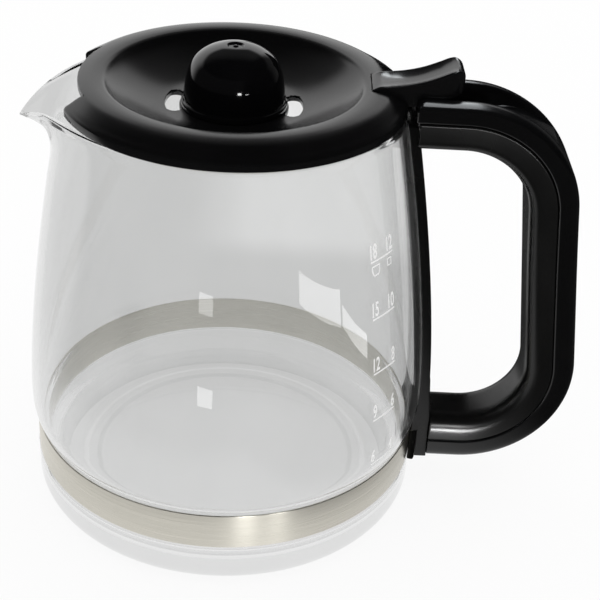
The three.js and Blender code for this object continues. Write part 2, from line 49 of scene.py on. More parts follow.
BELLY_R = 73.6
GROOVE_DEPTH = 2.5
GROOVE_R = BELLY_R - GROOVE_DEPTH
GROOVE_TOP = 31.8
BAND_Z = 17.5
HEEL_R = GROOVE_R + 1.1
HEEL_TOP = BAND_Z - 0.9
HEEL_ROUND = 8.0
WALL = 2.6
FLOOR = 6.0
FLOOR_ROUND = 12.0
FLOOR_STEP = 0.9
STEP_RUN = 1.2
RING_OUT = 0.4
RING_IN = 6.0
RING_FALL = 0.7
SPOUT_REACH = 15.5
SPOUT_DROP = 10.0
SPOUT_RISE = 26.0
SPOUT_PINCH = 0.27
SPOUT_FALL = 2.0
SPOUT_TIP = 0.07
SPOUT_CROWD = 0.55


class Wire:
    """A socket in a node tree. Arithmetic on wires adds one Math node for each operator."""

    def __init__(self, tree, socket=None):
        self.tree = tree
        self.socket = socket

    def node(self, kind, settings, sockets, outlet=0):
        """Add a node of a kind, set its settings, then give each named socket its value or link."""
        made = self.tree.nodes.new(kind)
        for name, value in settings.items():
            setattr(made, name, value)
        for name, value in sockets.items():
            if isinstance(value, Wire):
                self.tree.links.new(value.socket, made.inputs[name])
            else:
                made.inputs[name].default_value = value
        return Wire(self.tree, made.outputs[outlet])

    def __add__(self, other):
        return self.node("ShaderNodeMath", {"operation": "ADD"}, {0: self, 1: other})

    def __mul__(self, other):
        return self.node("ShaderNodeMath", {"operation": "MULTIPLY"}, {0: self, 1: other})

    def __sub__(self, other):
        return self.node("ShaderNodeMath", {"operation": "SUBTRACT"}, {0: self, 1: other})

    def __rsub__(self, other):
        return self.node("ShaderNodeMath", {"operation": "SUBTRACT"}, {0: other, 1: self})

    __radd__ = __add__
    __rmul__ = __mul__


def finish(name):
    """New empty material, and a wire that adds nodes to it."""
    material = bpy.data.materials.new(name)
    material.use_nodes = True
    material.node_tree.nodes.clear()
    return material, Wire(material.node_tree)


def spot(wire, scale=(1.0, 1.0, 1.0)):
    """The piece's own coordinates in metres, times a scale each way."""
    place = wire.node("ShaderNodeTexCoord", {}, {}, "Object")
    return wire.node("ShaderNodeMapping", {}, {"Vector": place, "Scale": scale})


def noise(wire, scale, detail=2.0, distort=0.0):
    """Cloudy pattern from 0 to 1 on the piece's own coordinates, with its own count a metre each way."""
    sockets = {"Vector": spot(wire, scale), "Scale": 1.0, "Detail": detail, "Distortion": distort}
    return wire.node("ShaderNodeTexNoise", {}, sockets, "Fac")


def length_of(wire, vector):
    """Wire of a vector's length."""
    return wire.node("ShaderNodeVectorMath", {"operation": "LENGTH"}, {0: vector}, "Value")


def from_axis(wire):
    """Distance in metres from the upright axis."""
    return length_of(wire, spot(wire, (1.0, 1.0, 0.0)))


def parts_of(wire, vector):
    """Wires of a vector's three numbers."""
    split = wire.tree.nodes.new("ShaderNodeSeparateXYZ")
    wire.tree.links.new(vector.socket, split.inputs[0])
    return [Wire(wire.tree, outlet) for outlet in split.outputs]


def span(wire, value, low, high, start=0.0, stop=1.0):
    """The value's part between low and high, eased and spread from start to stop."""
    settings = {"interpolation_type": "SMOOTHSTEP"}
    sockets = {"Value": value, 1: low, 2: high, 3: start, 4: stop}
    return wire.node("ShaderNodeMapRange", settings, sockets)


def between(wire, value, low, high):
    """One where a length lies between two, in millimetres, fading out over a millimetre at each end."""
    rising = span(wire, value, low * MM, (low + 1) * MM)
    return rising * span(wire, value, (high - 1) * MM, high * MM, 1.0, 0.0)


def blend(wire, factor, first, second):
    """Colour between two colours by a factor."""
    sockets = {0: factor, 6: (*first, 1.0), 7: (*second, 1.0)}
    return wire.node("ShaderNodeMix", {"data_type": "RGBA"}, sockets, 2)


def bumps(wire, height, depth):
    """Surface direction of a relief whose height runs from 0 to 1 over a depth in millimetres."""
    return wire.node("ShaderNodeBump", {}, {"Height": height, "Strength": 1.0, "Distance": depth * MM})


def send(surface, kind):
    """Send a surface to a new output of its tree."""
    output = surface.tree.nodes.new(kind)
    surface.tree.links.new(surface.socket, output.inputs["Surface"])


def apply(material, wire, sockets):
    """Shade the material by the standard surface with these values and links."""
    send(wire.node("ShaderNodeBsdfPrincipled", {}, sockets), "ShaderNodeOutputMaterial")
    return material


def put(name, points, faces):
    """Piece whose mesh has these points, in millimetres, and faces."""
    mesh = bpy.data.meshes.new(name)
    mesh.from_pydata((points * MM).tolist(), [], faces)
    piece = bpy.data.objects.new(name, mesh)
    bpy.context.scene.collection.objects.link(piece)
    return piece


def tidy(piece, crease):
    """Weld points that fall together, turn the faces outwards and shade smooth up to an angle."""
    shape = bmesh.new()
    shape.from_mesh(piece.data)
    bmesh.ops.remove_doubles(shape, verts=shape.verts, dist=WELD)
    bmesh.ops.dissolve_degenerate(shape, edges=shape.edges, dist=WELD)
    bmesh.ops.recalc_face_normals(shape, faces=shape.faces)
    shape.to_mesh(piece.data)
    shape.free()
    piece.data.shade_smooth()
    piece.data.set_sharp_from_angle(angle=np.radians(crease))
    return piece


def skin(name, grid, ring=False, loop=False, ends=False, crease=40):
    """Piece whose faces are the cells of a grid of points, rows by columns.

    A ring joins the last column to the first, a loop joins the last row to the first, and ends
    cover the first and the last row.
    """
    rows, columns = grid.shape[:2]
    index = np.arange(rows * columns).reshape(rows, columns)
    index = np.vstack([index, index[:1]]) if loop else index
    index = np.hstack([index, index[:, :1]]) if ring else index
    cells = np.stack([index[:-1, :-1], index[:-1, 1:], index[1:, 1:], index[1:, :-1]], axis=-1)
    faces = cells.reshape(-1, 4).tolist()
    if ends:
        faces += [index[0, :columns].tolist(), index[rows - 1, :columns].tolist()]
    return tidy(put(name, grid.reshape(-1, 3), faces), crease)


def grid_of(x, y, z):
    """Grid of points from three arrays, each spread over the others."""
    return np.stack(np.broadcast_arrays(x, y, z), axis=-1)


def ease(way):
    """Smooth step from 0 to 1: three times the square of the way, less twice its cube."""
    return way**2 * (3 - 2 * way)


def arc(across, up, radius, start, stop, count):
    """Points of a circle arc about a centre, from one angle to another in degrees."""
    angle = np.radians(np.linspace(start, stop, count))
    return np.stack([across + radius * np.cos(angle), up + radius * np.sin(angle)], axis=1)


def glass_radius(z):
    """Outer radius at a height.

    It is the belly's radius, less the waist's depth times the fourth power of the way down to the
    waist, less the taper times the power one and a half of the way up to the mouth.
    """
    below = np.clip((BELLY_Z - z) / (BELLY_Z - GROOVE_TOP), 0, 1)
    above = np.clip((z - BELLY_Z) / (RIM_Z - BELLY_Z), 0, 1)
    return BELLY_R - GROOVE_DEPTH * below**4 - (BELLY_R - RIM_R) * above**1.5


def glass_profile():
    """Radius and height round the wall: base, heel, waist, outer side, rim, inner side and floor.

    Two small smooth steps make a flat raised ring in the floor, and its middle rises to the centre.
    """
    corner = FLOOR + FLOOR_ROUND
    waist = np.linspace(BAND_Z - GAP, GROOVE_TOP, 6)
    shoulder = np.linspace(GROOVE_TOP, BELLY_Z, 20)[1:]
    side = np.concatenate([shoulder, np.linspace(BELLY_Z, RIM_Z - WALL / 2, 70)[1:]])
    inner = np.concatenate([side[::-1], np.linspace(GROOVE_TOP, corner, 6)])
    rim = arc(RIM_R - WALL / 2, RIM_Z - WALL / 2, WALL / 2, 0, 180, 13)[1:-1]
    floor_x = glass_radius(corner) - WALL - FLOOR_ROUND
    step = np.linspace(0, 1, 12)[1:]
    lift = FLOOR_STEP * ease(step)
    ring = np.stack([floor_x - RING_OUT - STEP_RUN * step, FLOOR + lift], axis=1)
    fall = FLOOR + FLOOR_STEP - RING_FALL * lift
    middle = np.stack([floor_x - RING_IN - STEP_RUN * step, fall], axis=1)
    return np.concatenate([
        [[0, 0]],
        arc(HEEL_R - HEEL_ROUND, HEEL_ROUND, HEEL_ROUND, -90, 0, 16),
        [[HEEL_R, HEEL_TOP]],
        np.stack([glass_radius(waist), waist], axis=1),
        np.stack([glass_radius(side), side], axis=1),
        rim,
        np.stack([glass_radius(inner) - WALL, inner], axis=1),
        arc(floor_x, corner, FLOOR_ROUND, 0, -90, 16)[1:],
        ring,
        middle,
        [[0, FLOOR + FLOOR_STEP]],
    ])


def glass_wall(turn):
    """The profile carried round the upright axis, with the wall near the mouth drawn out to a spout.

    The draw fades as the exponential of the angle from the spout, and with the cube of the way up.
    The rim falls likewise, but faster. The columns crowd together at the spout.
    """
    radius, height = glass_profile().T[:, :, None]
    around = np.linspace(-np.pi, np.pi, turn, endpoint=False)[None]
    angle = around - SPOUT_CROWD * np.sin(around)
    away = (np.hypot(angle, SPOUT_TIP) - SPOUT_TIP) / SPOUT_PINCH
    up = np.clip((height - (RIM_Z - SPOUT_RISE)) / SPOUT_RISE, 0, None)
    out = radius + SPOUT_REACH * np.exp(-away) * up**3
    level = height - SPOUT_DROP * np.exp(-SPOUT_FALL * away) * up**1.5
    return grid_of(-out * np.cos(angle), -out * np.sin(angle), level)


glass_body = skin("carafe_glass", glass_wall(320), ring=True)
clear_glass, wire = finish("clear_glass")
smears = noise(wire, (40, 40, 14), 3.0)
ripples = noise(wire, (26, 26, 5), 1.0)
_, _, height = parts_of(wire, spot(wire))
# Painted light and dark rings on the floor of the glass stand in for the lines that its stepped floor draws
# by bending light.
on_floor = between(wire, height, 4.0, 9.5)
out = from_axis(wire)
painted_light_ring = between(wire, out, 53.5, 56.5)
painted_dark_ring = between(wire, out, 48.5, 51.2)
clear = 0.6 + 0.15 * smears + 0.3 * (painted_light_ring - painted_dark_ring) * on_floor
glass_body.data.materials.append(apply(clear_glass, wire, {
    "Base Color": blend(wire, clear, (0.6, 0.61, 0.605), (1.0, 1.0, 1.0)),
    "Roughness": span(wire, smears, 0.45, 0.75, 0.0, 0.04),
    "Normal": bumps(wire, ripples, 0.25),
    "IOR": 1.47,
    "Transmission Weight": 1.0,
}))
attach(glass_body, "carafe")
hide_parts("glass_body")


# Printed scale
# White ceramic ink is screen printed on the outside of the glass beside the handle and fired on.
# Five lines count small cups on the left and large cups on the right, and icons tell them apart.
SCALE_LEFT = -43.0
SCALE_W = 12.2
SCALE_LINES = [(119.0, "18", "12"), (98.2, "15", "10"), (77.4, "12", "8"), (58.7, "9", "6"), (39.8, "6", "4")]
DIGIT_H = 5.0
DIGIT_NARROW = 0.58
DIGIT_BOLD = 0.16
DIGIT_LIFT = 1.1
FONT_SIZE = DIGIT_H / 0.69
LINE_T = 0.6
INK = 0.05


def on_glass(flat, z):
    """Flat drawing wrapped on the glass: across becomes length round it, and up adds to a height."""
    level = z + flat[:, 1]
    out = glass_radius(level) + INK
    angle = np.radians(SCALE_LEFT) + flat[:, 0] / glass_radius(np.full(len(flat), z))
    return np.stack([out * np.cos(angle), out * np.sin(angle), level], axis=1)


def wrap_text(words, place, z):
    """Mesh of bold narrow words standing on a height.

    The place is the part of the scale's width that the words start after, and end before.
    """
    curve = bpy.data.curves.new("scale_text", "FONT")
    curve.body = words
    curve.size = FONT_SIZE
    curve.offset = DIGIT_BOLD
    letters = bpy.data.objects.new("scale_text", curve)
    bpy.context.scene.collection.objects.link(letters)
    view = bpy.context.evaluated_depsgraph_get()
    mesh = bpy.data.meshes.new_from_object(letters.evaluated_get(view))
    flat = np.empty(len(mesh.vertices) * 3)
    mesh.vertices.foreach_get("co", flat)
    faces = [list(face.vertices) for face in mesh.polygons]
    bpy.data.objects.remove(letters)
    flat = flat.reshape(-1, 3)[:, :2] * [DIGIT_NARROW, 1.0]
    flat[:, 0] += place * (SCALE_W - np.ptp(flat[:, 0])) - flat[:, 0].min()
    return on_glass(flat, z), faces


def right_side(line):
    """Unit steps to the right of a line, square to it at each point."""
    along = np.gradient(line, axis=0)
    along /= np.linalg.norm(along, axis=1, keepdims=True)
    return np.stack([along[:, 1], -along[:, 0]], axis=1)


def wrap_stroke(path, thickness, z):
    """Mesh of a drawn line: the path moved half its thickness to either side, and wrapped."""
    side = right_side(path) * thickness / 2
    points = np.concatenate([on_glass(path + side, z), on_glass(path - side, z)])
    count = len(path)
    step = np.arange(count - 1)
    faces = np.stack([step, step + 1, step + count + 1, step + count], axis=1).tolist()
    return points, faces


prints = []
for z, small, large in SCALE_LINES:
    across = np.linspace(0, SCALE_W, 12)
    prints.append(wrap_stroke(np.stack([across, 0 * across], axis=1), LINE_T, z))
    prints.append(wrap_text(small, 0.0, z + DIGIT_LIFT))
    prints.append(wrap_text(large, 1.0, z + DIGIT_LIFT))
round_cup = np.array([[-1.5, 1.1], [-1.35, -0.2], [-0.9, -1.1], [0.9, -1.1], [1.35, -0.2], [1.5, 1.1],
                      [-1.5, 1.1]])
square_cup = np.array([[-1.1, 1.0], [-1.0, -1.0], [1.0, -1.0], [1.1, 1.0], [-1.1, 1.0]])
for cup, size, place, thickness in (
    (round_cup, [1.3, 1.5], [2.6, -3.4], 0.55),
    (square_cup, [1.0, 1.2], [SCALE_W - 2.2, -3.0], 0.5),
):
    prints.append(wrap_stroke(cup * size + place, thickness, SCALE_LINES[0][0]))
starts = np.cumsum([0] + [len(points) for points, _ in prints])
faces = [[int(start) + k for k in face] for start, (_, own) in zip(starts, prints) for face in own]
cup_scale = put("cup_scale", np.concatenate([points for points, _ in prints]), faces)
scale_white, wire = finish("fired_white_ink")
specks = noise(wire, (2500, 2500, 2500), 2.0)
cup_scale.data.materials.append(apply(scale_white, wire, {
    "Base Color": blend(wire, specks, (0.9, 0.9, 0.89), (0.97, 0.97, 0.965)),
    "Roughness": span(wire, specks, 0.2, 0.8, 0.35, 0.5),
}))
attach(cup_scale, "carafe")


# Steel band
# A strip of brushed stainless steel with a warm tint lies in the waist of the glass.
# Its two ends turn out into the handle's foot, where a screw draws it tight.
BAND_H = 14.0
BAND_T = 0.6
BAND_ROUND = 0.28
BAND_IN = GROOVE_R + GAP
BAND_OUT = BAND_IN + BAND_T
EAR_LENGTH = 5.7
EAR_GAP = 2.4
EAR_BEND = 1.2
SCREW_R = 1.5
SCREW_X = BAND_OUT + 3.4
SCREW_Z = BAND_Z + BAND_H / 2


def box(left, low, right, high):
    """Four corners of a rectangle, counter-clockwise from the lower left one."""
    return [[left, low], [right, low], [right, high], [left, high]]


def rounded(corners, radii, count=6):
    """Outline through corner points, each cut back by its radius and joined by a parabola arc."""
    corner = np.asarray(corners, float)
    before = np.roll(corner, 1, axis=0) - corner
    after = np.roll(corner, -1, axis=0) - corner
    reach = np.asarray(radii, float)[:, None]
    start = (corner + before / np.linalg.norm(before, axis=1, keepdims=True) * reach)[:, None]
    stop = (corner + after / np.linalg.norm(after, axis=1, keepdims=True) * reach)[:, None]
    t = np.linspace(0, 1, count)[None, :, None]
    return ((1 - t) ** 2 * start + 2 * t * (1 - t) * corner[:, None] + t**2 * stop).reshape(-1, 2)


def band_line():
    """Plan of the band's middle: out of one ear, a bend, round the waist, a bend and the other ear."""
    middle = BAND_IN + BAND_T / 2
    ear = (EAR_GAP + BAND_T) / 2
    up = ear + EAR_BEND
    out = np.sqrt((middle + EAR_BEND) ** 2 - up**2)
    first = np.degrees(np.arctan2(up, out))
    tip = np.stack([np.linspace(BAND_OUT + EAR_LENGTH, out, 6), np.full(6, ear)], axis=1)
    bend = arc(out, up, EAR_BEND, -90, first - 180, 8)[1:]
    half = np.concatenate([tip, bend, arc(0, 0, middle, first, 180, 150)[1:]])
    return np.concatenate([half, half[-2::-1] * [1, -1]])


def upright_sweep(line, section):
    """A section of out and up carried along a plan line, square to it."""
    plan = line[:, None] + right_side(line)[:, None] * section[:, :1]
    return grid_of(plan[..., 0], plan[..., 1], section[:, 1])


def rod(name, profile, x, z, turn=40):
    """Profile of radius and place along Y, carried round an axis along Y through x and z."""
    radius, along = np.asarray(profile, float).T[:, :, None]
    angle = np.linspace(0, 2 * np.pi, turn, endpoint=False)[None]
    grid = grid_of(x + radius * np.cos(angle), along, z + radius * np.sin(angle))
    return skin(name, grid, ring=True)


def plain_rod(radius, x, z, start, stop):
    """Straight rod along Y, for a hole."""
    return rod("hole", [[0, start], [radius, start], [radius, stop], [0, stop]], x, z)


def settle(piece):
    """Make what the modifiers give the piece's own mesh."""
    bpy.context.view_layer.update()
    view = bpy.context.evaluated_depsgraph_get()
    made = bpy.data.meshes.new_from_object(piece.evaluated_get(view))
    piece.modifiers.clear()
    piece.data = made


def carve(piece, operation, tools):
    """Take the tools away from the piece, or join them to it, and throw the tools away."""
    for tool in tools:
        change = piece.modifiers.new("carve", "BOOLEAN")
        change.operation = operation
        change.solver = "EXACT"
        change.object = tool
    settle(piece)
    for tool in tools:
        bpy.data.objects.remove(tool)
    return tidy(piece, 40)


def soften(piece, width, crease=38):
    """Round every edge that is sharper than the crease angle."""
    bevel = piece.modifiers.new("soften", "BEVEL")
    bevel.width = width * MM
    bevel.segments = 3
    bevel.limit_method = "ANGLE"
    bevel.angle_limit = np.radians(crease)
    bevel.use_clamp_overlap = False
    settle(piece)
    return tidy(piece, 50)


strip = rounded(box(-BAND_T / 2, BAND_Z, BAND_T / 2, BAND_Z + BAND_H), [BAND_ROUND] * 4)
base_band = skin("steel_band", upright_sweep(band_line(), strip), ring=True, ends=True)
ear_far = EAR_GAP + BAND_T
carve(base_band, "DIFFERENCE", [plain_rod(SCREW_R + GAP, SCREW_X, SCREW_Z, -ear_far, ear_far)])
brushed_steel, wire = finish("brushed_champagne_steel")
hairs = noise(wire, (25, 25, 9000), 2.0)
streaks = noise(wire, (9, 9, 900), 2.0)
# The inner face is painted lighter than the outer face: painted light, so that the far side of the band seen
# through the glass looks brighter.
painted_light_inner_face = span(wire, from_axis(wire), (BAND_IN + 0.15) * MM, (BAND_IN + 0.4) * MM, 1.0, 0.0)
tint = 0.28 * streaks + 0.9 * painted_light_inner_face
base_band.data.materials.append(apply(brushed_steel, wire, {
    "Base Color": blend(wire, tint, (0.66, 0.635, 0.56), (0.95, 0.925, 0.85)),
    "Roughness": span(wire, hairs, 0.25, 0.75, 0.26, 0.36),
    "Normal": bumps(wire, hairs, 0.002),
    "Metallic": 1.0,
    "Anisotropic": 0.9,
    "Anisotropic Rotation": 0.25,
}))
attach(base_band, "carafe")
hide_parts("base_band")


# Clamp screw
# A turned steel screw with a slotted cheese head goes in from the far side of the handle's foot.
# It passes through both turned ends of the band and draws them together.
SPINE_W = 20.0
HEAD_R = 2.4
HEAD_H = 2.4
HEAD_EDGE = 0.15
HEAD_ROUND = 0.5
SLOT_W = 0.7
SLOT_DEPTH = 1.0
SCREW_IN = 7.0
SCREW_TIP = 0.5
THREAD_STOP = 2.0
THREAD_PITCH = 0.6
THREAD_DEPTH = 0.16


def slab(name, outline, start, stop):
    """Outline in the XZ plane, drawn out along Y."""
    x, z = np.asarray(outline, float).T[:, None]
    y = np.array([[start], [stop]])
    return skin(name, grid_of(x, y, z), ring=True, ends=True)


head_y = SPINE_W / 2 - HEAD_H - GAP
head_top = head_y + HEAD_H
thread_y = np.linspace(-SCREW_IN + SCREW_TIP, THREAD_STOP, 52)
thread_wave = np.cos(2 * np.pi * (thread_y + SCREW_IN) / THREAD_PITCH)
thread_r = SCREW_R - THREAD_DEPTH * (1 - thread_wave) / 2
clamp_screw = rod("clamp_screw_steel", np.concatenate([
    [[0, -SCREW_IN], [SCREW_R - SCREW_TIP, -SCREW_IN]],
    np.stack([thread_r, thread_y], axis=1),
    [[SCREW_R, THREAD_STOP + GAP], [SCREW_R, head_y]],
    [[HEAD_R - HEAD_EDGE, head_y], [HEAD_R, head_y + HEAD_EDGE]],
    arc(HEAD_R - HEAD_ROUND, head_top - HEAD_ROUND, HEAD_ROUND, 0, 90, 6),
    [[0, head_top]],
]), SCREW_X, SCREW_Z)
slot_half = HEAD_R + 1
slot = box(SCREW_X - slot_half, SCREW_Z - SLOT_W / 2, SCREW_X + slot_half, SCREW_Z + SLOT_W / 2)
carve(clamp_screw, "DIFFERENCE", [slab("screw_slot", slot, head_top - SLOT_DEPTH, head_top + SLOT_DEPTH)])
turned_steel, wire = finish("turned_steel")
rings = noise(wire, (900, 5000, 900), 2.0)
clamp_screw.data.materials.append(apply(turned_steel, wire, {
    "Base Color": blend(wire, rings, (0.48, 0.48, 0.48), (0.62, 0.62, 0.61)),
    "Roughness": span(wire, rings, 0.2, 0.8, 0.25, 0.4),
    "Normal": bumps(wire, rings, 0.004),
    "Metallic": 1.0,
}))
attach(clamp_screw, "carafe")
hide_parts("clamp_screw")


# Handle spine
# A black polypropylene moulding follows the glass, with a foot and a saddle on the band.
# A thin hook at its top goes over the mouth under the lid and holds it up.
SADDLE_R = BAND_OUT + GAP
SADDLE_T = 2.6
SADDLE_ANGLE = 13.46
SADDLE_SLANT = 0.7
SADDLE_EDGES = [0.5, 0.9, 0.9, 0.5]
FOOT_X = 78.5
FOOT_Z = 13.8
FOOT_DRAFT = 0.3
FACE_TOP = BELLY_Z + 6
GLASS_GAP = 0.4
SPINE_T = 2.9
SPINE_TOP = 152.6
SPINE_EDGE = 0.24
HOOK_T = 1.2
HOOK_W = 13.0
HOOK_X = 55.5
HOOK_DROP = 6.0
HOOK_BEND = 0.7
HOOK_EDGE = 0.4
EAR_ROOM = 2.1
EAR_START = 60.0


def back_grid(z, inner, outer, width, edge):
    """Strip against a round wall: at each height a round-cornered bar whose back is the wall's arc."""
    half = width / 2
    bar = rounded(box(0, -half, 1, half), [edge] * 4, 7)
    part, y = bar[None, :, 0], bar[None, :, 1]
    back = np.sqrt(inner[:, None] ** 2 - y**2)
    x = back + part * (outer[:, None] - back)
    return grid_of(x, y, z[:, None])


def plan_block(name, outline, low, high):
    """Outline in plan, drawn up from one height to another."""
    x, y = np.asarray(outline, float).T[:, None]
    z = np.array([[low], [high]])
    return skin(name, grid_of(x, y, z), ring=True, ends=True)


def lengths(path):
    """Length along a path from its start to each of its points."""
    return np.concatenate([[0], np.cumsum(np.linalg.norm(np.diff(path, axis=0), axis=1))])


def bent(corners, radii, count):
    """Path of straight runs through corner points, with a circle arc at each corner, evenly spaced."""
    corners = np.asarray(corners, float)
    runs = [corners[:1]]
    for before, corner, after, radius in zip(corners, corners[1:], corners[2:], radii):
        into = (corner - before) / np.linalg.norm(corner - before)
        out = (after - corner) / np.linalg.norm(after - corner)
        turn = np.arctan2(into[0] * out[1] - into[1] * out[0], into @ out)
        start = corner - into * radius * np.tan(abs(turn) / 2)
        centre = start + np.sign(turn) * radius * np.array([-into[1], into[0]])
        first = np.degrees(np.arctan2(*(start - centre)[::-1]))
        runs.append(arc(*centre, radius, first, first + np.degrees(turn), 60))
    path = np.concatenate(runs + [corners[-1:]])
    length = lengths(path)
    at = np.linspace(0, length[-1], count)
    return np.stack([np.interp(at, length, path[:, 0]), np.interp(at, length, path[:, 1])], axis=1)


def sweep(path, section):
    """A section carried along a path in the XZ plane: its first number runs to the right of the way.

    The section is one for the whole way, or one for each point of it.
    """
    place = path[:, None] + right_side(path)[:, None] * section[..., :1]
    return grid_of(place[..., 0], section[..., 1], place[..., 1])


foot_z = np.array([FOOT_Z, BAND_Z - GAP, BAND_Z - GAP + 0.01, GROOVE_TOP])
foot_in = np.array([HEEL_R + GLASS_GAP, HEEL_R + GLASS_GAP, SADDLE_R, SADDLE_R])
wall_z = np.linspace(GROOVE_TOP + 0.5, SPINE_TOP, 90)
strip_z = np.concatenate([foot_z, wall_z])
strip_in = np.concatenate([foot_in, glass_radius(wall_z) + GLASS_GAP])
foot_line = np.interp(strip_z, [FOOT_Z, GROOVE_TOP + 1, FACE_TOP, FACE_TOP + 1],
                      [FOOT_X, FOOT_X - FOOT_DRAFT, BELLY_R + GLASS_GAP + SPINE_T, 0])
strip_out = np.maximum(strip_in + SPINE_T, foot_line)
strip_grid = back_grid(strip_z, strip_in, strip_out, SPINE_W, SPINE_EDGE)
handle_spine = skin("spine_moulding", strip_grid, ring=True, ends=True)
saddle_box = box(SADDLE_R, BAND_Z, SADDLE_R + SADDLE_T, GROOVE_TOP)
saddle_r, saddle_z = rounded(saddle_box, SADDLE_EDGES).T[:, None]
saddle_turn = np.radians(np.linspace(-SADDLE_ANGLE, SADDLE_ANGLE, 24))[:, None]
saddle_turn = saddle_turn * (1 - SADDLE_SLANT * (saddle_z - BAND_Z) / BAND_H)
saddle_grid = grid_of(saddle_r * np.cos(saddle_turn), saddle_r * np.sin(saddle_turn), saddle_z)
saddle = skin("spine_saddle", saddle_grid, ring=True, ends=True)
hook_x = glass_radius(SPINE_TOP - SPINE_T) + GLASS_GAP + HOOK_T / 2
hook_top = RIM_Z + GAP + HOOK_T / 2
hook_corners = [[hook_x, SPINE_TOP - SPINE_T], [RIM_R + GLASS_GAP + HOOK_T / 2, hook_top],
                [HOOK_X - HOOK_T / 2, hook_top], [HOOK_X - HOOK_T / 2, RIM_Z - HOOK_DROP]]
hook_section = rounded(box(-HOOK_T / 2, -HOOK_W / 2, HOOK_T / 2, HOOK_W / 2), [HOOK_EDGE] * 4)
hook_grid = sweep(bent(hook_corners, [HOOK_BEND] * 2, 60), hook_section)
hook = skin("spine_hook", hook_grid, ring=True, ends=True)
carve(handle_spine, "UNION", [saddle, hook])
ear_slot = box(EAR_START, -EAR_ROOM, BAND_OUT + EAR_LENGTH + GAP, EAR_ROOM)
carve(handle_spine, "DIFFERENCE", [
    plan_block("ear_slot", ear_slot, BAND_Z - GAP, GROOVE_TOP + 2),
    plain_rod(SCREW_R + GAP, SCREW_X, SCREW_Z, -SCREW_IN - GAP, head_y),
    plain_rod(HEAD_R + GAP, SCREW_X, SCREW_Z, head_y - GAP, SPINE_W),
])
soften(handle_spine, 0.35)
satin_black, wire = finish("satin_black_polypropylene")
grain = noise(wire, (3200, 3200, 3200), 2.0)
flow = noise(wire, (45, 45, 20), 3.0)
handle_spine.data.materials.append(apply(satin_black, wire, {
    "Base Color": blend(wire, flow, (0.0018, 0.0018, 0.0018), (0.004, 0.004, 0.0038)),
    "Roughness": span(wire, flow, 0.2, 0.8, 0.22, 0.3),
    "Normal": bumps(wire, grain, 0.008),
    "Specular IOR Level": 0.36,
}))
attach(handle_spine, "carafe")
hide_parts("handle_spine")


# Handle shell
# The outer half of the loop is a glossy black moulding, and two rails at its top hold the hinge pin.
# Between the rails a channel that climbs out through the bend leaves room for the thumb lever.
GRIP_W = 22.0
ARM_W = 26.0
FLARE_Z = 95.0
SHELL_T = 8.9
COVER_T = 9.9
GRIP_T = SHELL_T + COVER_T
SHELL_EDGE = (3.0, 5.0)
SHELL_DEPTH = (7.5, SHELL_T)
SHELL_SEAM = 1.3
ARM_Z = 154.9
ARM_UNDER = ARM_Z - COVER_T
LOW_Z = 22.7
HINGE_X = 68.1
HINGE_Z = 157.5
RAIL_TOP = ARM_Z + SHELL_T
RAIL_X = HINGE_X + HINGE_Z - RAIL_TOP
RAIL_CORNER = 3.0
RAIL_CUT = 5.0
CHANNEL_Z = ARM_UNDER + 3.2
CHANNEL_W = 16.0
CHANNEL_START = 3.2
CUT_X = 40.0
PIN_R = 1.5
PIN_FRONT = -ARM_W / 2 + 1.0
SEAM_GAP = 0.02
BEND_R = 35.0
LOW_BEND_R = 32.0
GRIP_HIGH_X = RIM_R + 51.3
GRIP_LOW_X = BAND_OUT + 53.8
FOOT_JOINT = FOOT_X + 0.05
grip_corners = [[RAIL_X, ARM_Z], [GRIP_HIGH_X, ARM_Z], [GRIP_LOW_X, LOW_Z], [FOOT_JOINT, LOW_Z]]
grip_line = bent(grip_corners, [BEND_R, LOW_BEND_R], 260)


def grip_section(depth, edge, seam, side):
    """Half section: a flat seam face, and an outer face at a depth with two round edges."""
    half = GRIP_W / 2
    near, far = side * SEAM_GAP / 2, side * depth
    return rounded(box(near, -half, far, half), [seam, edge, edge, seam], 12)


def grip_half(upper, lower):
    """Half of the grip, carried along the seam line.

    The section goes over from the upper arm's to the lower arm's, and the width grows to the arm's,
    each by a smooth step of the height.
    """
    down = np.clip((ARM_Z - grip_line[:, 1]) / (ARM_Z - LOW_Z), 0, 1)[:, None, None]
    grid = sweep(grip_line, upper + (lower - upper) * ease(down))
    way = np.clip((grid[..., 2] - FLARE_Z) / (ARM_UNDER - FLARE_Z), 0, 1)
    grid[..., 1] *= 1 + (ARM_W / GRIP_W - 1) * ease(way)
    return grid


def curve_through(points, count):
    """Curve through points: cubic between neighbours, with slopes from the points on either side."""
    points = np.asarray(points, float)
    knots = lengths(points)
    slopes = np.gradient(points, knots, axis=0)
    at = np.linspace(0, knots[-1], count)
    k = np.clip(np.searchsorted(knots, at, side="right") - 1, 0, len(knots) - 2)
    width = (knots[k + 1] - knots[k])[:, None]
    t = (at - knots[k])[:, None] / width
    ends = (1 + 2 * t) * (1 - t) ** 2 * points[k] + t**2 * (3 - 2 * t) * points[k + 1]
    return ends + width * t * (1 - t) * ((1 - t) * slopes[k] - t * slopes[k + 1])


def channel():
    """Room for the lever: a level floor, then a curve round the bend that grows shallower and runs out."""
    turn = np.radians([5.0, 14.0, 22.0, 30.0, 38.0, 46.0, 52.0])
    depth = np.array([ARM_Z + SHELL_DEPTH[0] - CHANNEL_Z, 8.4, 5.3, 3.5, 2.2, 0.7, -0.9])
    bend_x = grip_line[np.argmax(np.diff(grip_line[:, 1]) < -1e-3), 0]
    reach = BEND_R + SHELL_DEPTH[0] - depth
    run = np.stack([bend_x + reach * np.sin(turn), ARM_Z - BEND_R + reach * np.cos(turn)], axis=1)
    run[0] = [bend_x + CHANNEL_START, CHANNEL_Z]
    climb = curve_through(run, 50)
    sky = RAIL_TOP + GRIP_T
    roof = [[run[-1, 0] + GRIP_T, sky], [CUT_X, sky], [CUT_X, CHANNEL_Z]]
    return slab("channel", np.concatenate([climb, roof]), -CHANNEL_W / 2, CHANNEL_W / 2)


